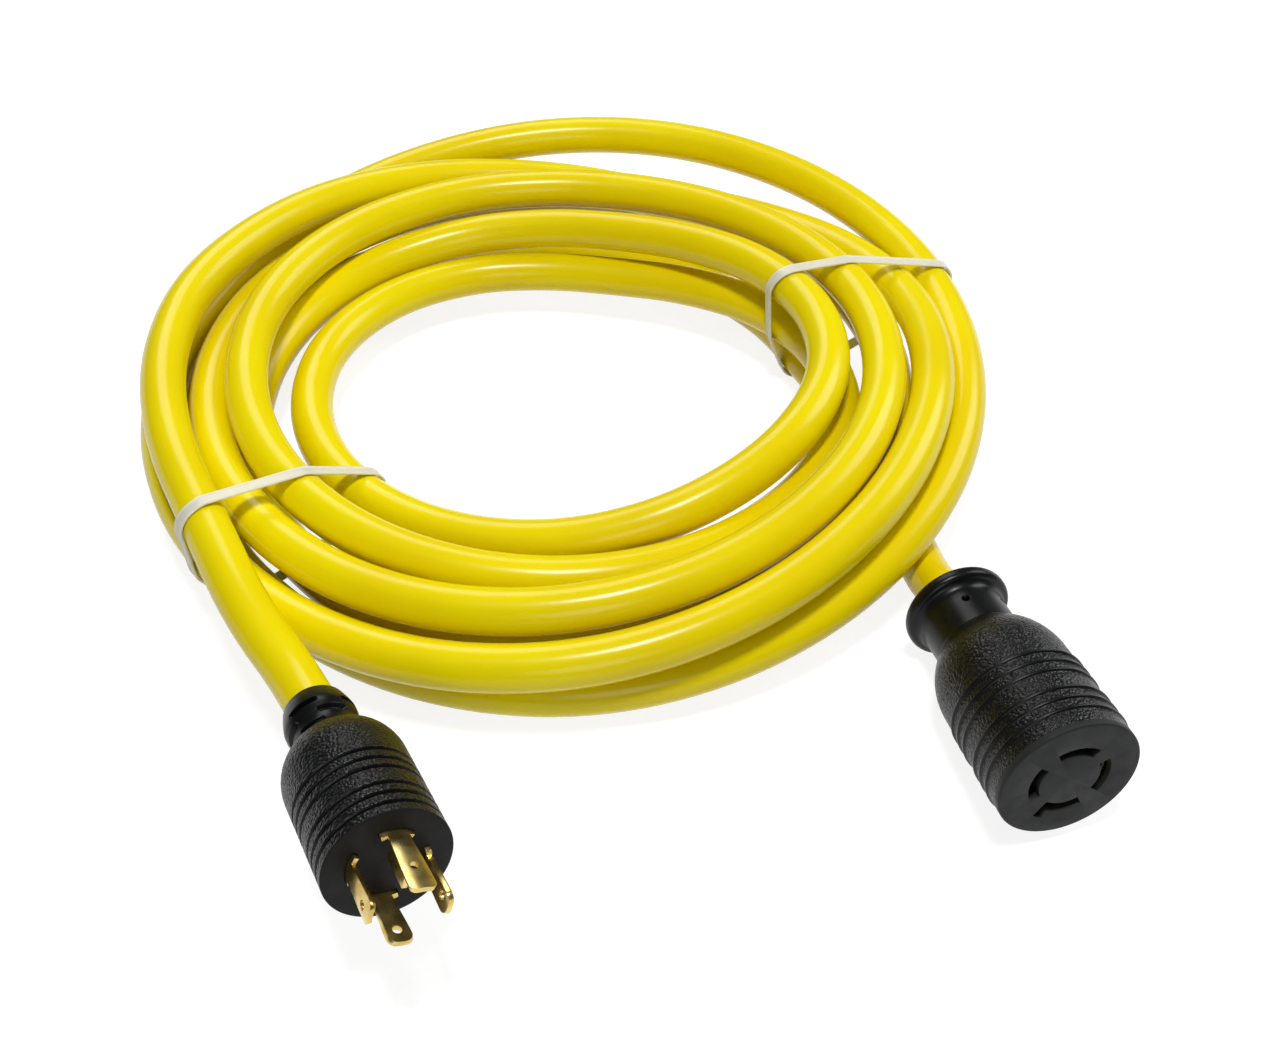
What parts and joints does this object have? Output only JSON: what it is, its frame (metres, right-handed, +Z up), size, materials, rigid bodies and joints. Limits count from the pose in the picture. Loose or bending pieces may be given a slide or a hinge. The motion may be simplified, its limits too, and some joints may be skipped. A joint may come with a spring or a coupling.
{
  "type": "shore power cord",
  "caption": "Coiled heavy yellow power cord tied with two straps, a four-blade twist-lock plug on one end and a matching twist-lock connector on the other.",
  "frame": {"origin": "middle of the footprint, on the floor that the coil lies on", "axes": "+Z up; plug and connector lie towards -Y, the connector towards +X"},
  "size_m": [0.3706, 0.4544, 0.0728],
  "materials": {
    "yellow_jacket": "glossy",
    "nylon": "translucent",
    "black_grip": "pebbled",
    "black_face": "smooth matte",
    "brass": "polished",
    "green_wire": "glossy",
    "black_wire": "glossy",
    "white_wire": "glossy",
    "red_wire": "glossy"
  },
  "bodies": {
    "root": {"cord_coil": "yellow_jacket", "plug_lead": "yellow_jacket", "connector_lead": "yellow_jacket", "cable_tie_back": "nylon", "cable_tie_front": "nylon", "plug_body": "black_grip", "plug_face": "black_face", "connector_body": "black_grip", "connector_face": "black_face", "plug_core": "black_face", "connector_core": "black_face", "plug_blade_ground": "brass", "plug_conductor_ground": "green_wire", "connector_contact_ground": "brass", "connector_conductor_ground": "green_wire", "plug_blade_line_one": "brass", "plug_conductor_line_one": "black_wire", "connector_contact_line_one": "brass", "connector_conductor_line_one": "black_wire", "plug_blade_neutral": "brass", "plug_conductor_neutral": "white_wire", "connector_contact_neutral": "brass", "connector_conductor_neutral": "white_wire", "plug_blade_line_two": "brass", "plug_conductor_line_two": "red_wire", "connector_contact_line_two": "brass", "connector_conductor_line_two": "red_wire"}
  },
  "joints": []
}
